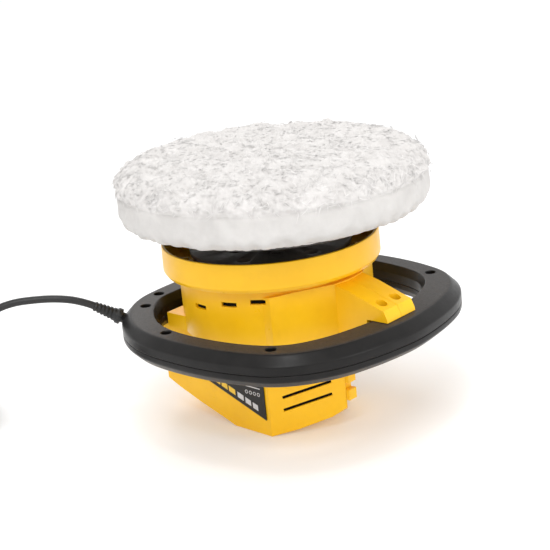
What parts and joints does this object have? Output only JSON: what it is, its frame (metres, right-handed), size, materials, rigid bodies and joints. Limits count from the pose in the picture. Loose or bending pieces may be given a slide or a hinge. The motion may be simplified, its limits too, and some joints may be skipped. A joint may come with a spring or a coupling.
{
  "type": "orbital car polisher",
  "caption": "Mains-powered orbital car polisher with a closed two-handed handle loop, round fleece-covered pad and coiled cord, resting on its motor housing.",
  "frame": {"origin": "on the motor axis, on the flat crown of the motor housing, which is the face the tool stands on when the pad is up", "axes": "+Z along the motor axis towards the pad, +X towards the front bridge of the handle loop, +Y towards the side with the switch"},
  "size_m": [0.4306, 0.3417, 0.2165],
  "materials": {
    "yellow_plastic": "satin moulded",
    "handle_black": "satin soft-touch",
    "switch_plastic": "fine texture",
    "panel_film": "satin film",
    "screw_steel": "blackened",
    "bearing_steel": "ground",
    "machined_steel": "turned",
    "inner_black": "moulded",
    "copper": "enamelled copper wire and copper bars",
    "brass": "stamped",
    "carbon": "pressed carbon",
    "pad_foam": "open-cell foam",
    "bonnet_fleece": "long-pile fleece",
    "cord_rubber": "matt sheath"
  },
  "bodies": {
    "body": {"housing_left": "yellow_plastic", "housing_right": "yellow_plastic", "housing_screw_1": "screw_steel", "housing_screw_2": "screw_steel", "housing_screw_3": "screw_steel", "base_skirt": "yellow_plastic", "skirt_screw_1": "screw_steel", "skirt_screw_2": "screw_steel", "skirt_screw_3": "screw_steel", "ring_upper_shell": "handle_black", "ring_lower_shell": "handle_black", "ring_screw_a_l": "screw_steel", "ring_screw_a_r": "screw_steel", "ring_screw_b_l": "screw_steel", "ring_screw_b_r": "screw_steel", "ring_screw_c_l": "screw_steel", "ring_screw_c_r": "screw_steel", "ring_screw_d_l": "screw_steel", "ring_screw_d_r": "screw_steel", "bridge_screw_l": "screw_steel", "bridge_screw_r": "screw_steel", "switch_case": "switch_plastic", "name_panel_left": "panel_film", "name_panel_right": "panel_film", "lower_bearing": "bearing_steel", "bearing_bracket": "inner_black", "upper_bearing": "bearing_steel", "stator_core": "machined_steel", "field_coil_left": "copper", "field_coil_right": "copper", "brush_holder_left": "brass", "brush_holder_right": "brass", "carbon_brush_left": "carbon", "carbon_brush_right": "carbon", "strain_relief": "cord_rubber", "cord_tube": "cord_rubber", "cord_coil": "cord_rubber", "cord_tail": "cord_rubber", "plug_body": "cord_rubber", "plug_pin_a": "brass", "plug_pin_b": "brass"},
    "rocker": {"switch_rocker": "switch_plastic"},
    "rotor": {"motor_shaft": "machined_steel", "armature_core": "machined_steel", "armature_winding_low": "copper", "armature_winding_high": "copper", "commutator": "copper", "cooling_fan": "inner_black", "counterweight": "machined_steel", "eccentric_hub": "machined_steel", "pad_bearing": "bearing_steel", "balance_disc": "inner_black"},
    "pad": {"pad_spindle": "machined_steel", "backing_plate": "inner_black", "pad_washer": "machined_steel", "pad_screw": "screw_steel", "foam_pad": "pad_foam", "bonnet": "bonnet_fleece"}
  },
  "joints": [
    {"name": "spindle_spin", "type": "hinge", "parent": "body", "child": "rotor", "pos_m": [0, 0, 0.06], "axis": [0, 0, 1], "continuous": true},
    {"name": "pad_spin", "type": "hinge", "parent": "rotor", "child": "pad", "pos_m": [0.0042, 0.0042, 0.128], "axis": [0, 0, 1], "continuous": true},
    {"name": "switch_rock", "type": "hinge", "parent": "body", "child": "rocker", "pos_m": [-0.041, 0.1036, 0.0778], "axis": [-0.4169, 0.909, 0], "range_deg": [0, 14]}
  ]
}
